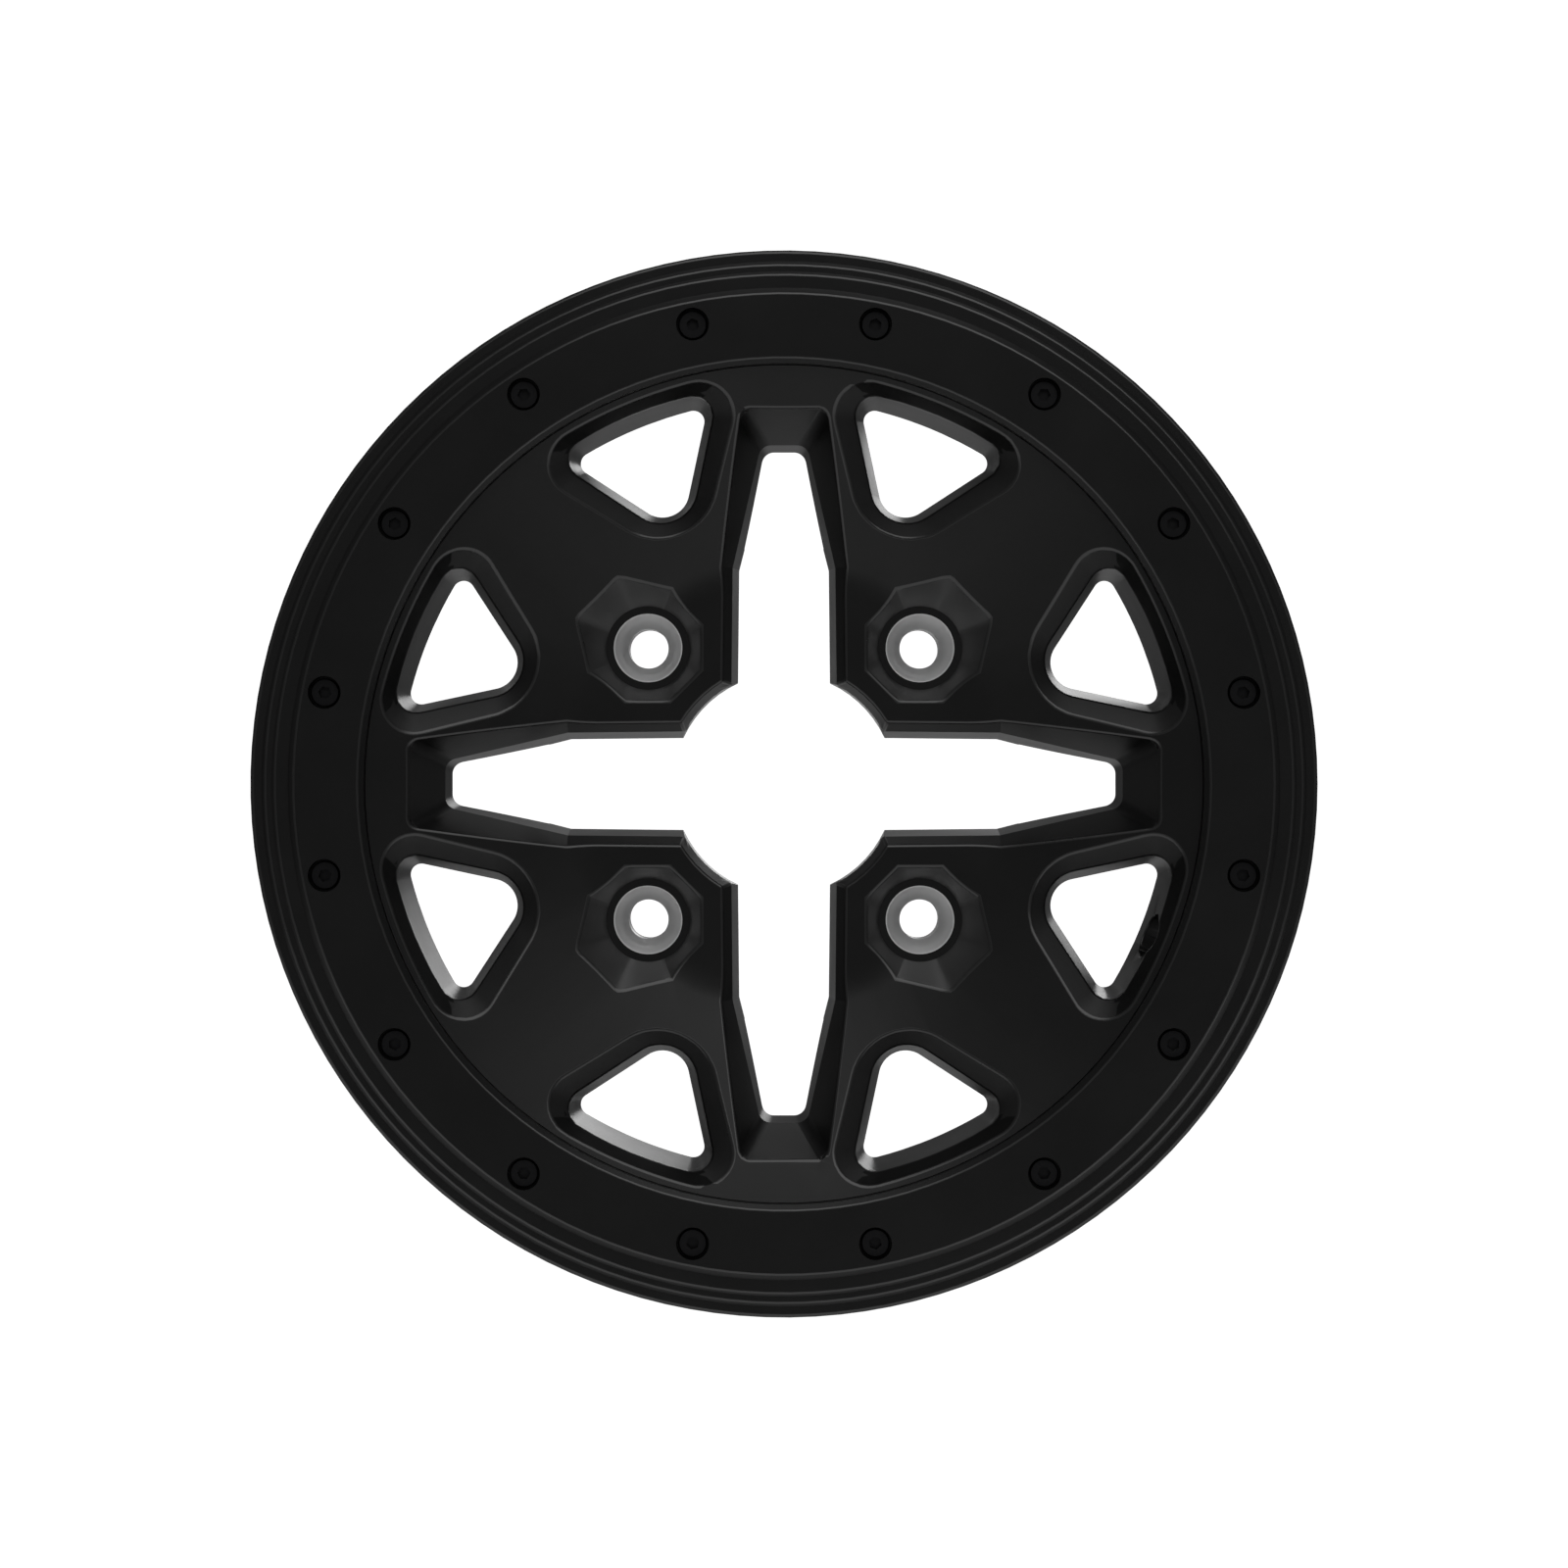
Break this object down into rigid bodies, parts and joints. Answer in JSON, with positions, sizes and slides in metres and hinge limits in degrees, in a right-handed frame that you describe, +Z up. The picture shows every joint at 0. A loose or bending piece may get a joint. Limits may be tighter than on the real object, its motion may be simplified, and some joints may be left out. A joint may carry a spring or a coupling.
{
  "type": "beadlock wheel",
  "caption": "Satin-black cast off-road wheel with a dished, windowed disc, a cross-shaped centre opening, bright lug seats and a bolted ring that clamps the outer tyre bead.",
  "frame": {"origin": "centre of the hub face, on the wheel's axis", "axes": "+Y along the axle towards the vehicle, so the front face looks along -Y; +Z up; one arm of the cross along +X and one along +Z"},
  "size_m": [0.3777, 0.196, 0.3778],
  "materials": {
    "black_coated_casting": "satin black coating on cast aluminium",
    "black_coated_ring": "satin black coating on turned aluminium",
    "black_oxide_steel": "black oxide",
    "bare_steel": "turned, bright"
  },
  "bodies": {
    "root": {"wheel_casting": "black_coated_casting", "beadlock_ring": "black_coated_ring", "ring_bolts": "black_oxide_steel", "lug_seat_insert_1": "bare_steel", "lug_seat_insert_2": "bare_steel", "lug_seat_insert_3": "bare_steel", "lug_seat_insert_4": "bare_steel"}
  },
  "joints": []
}
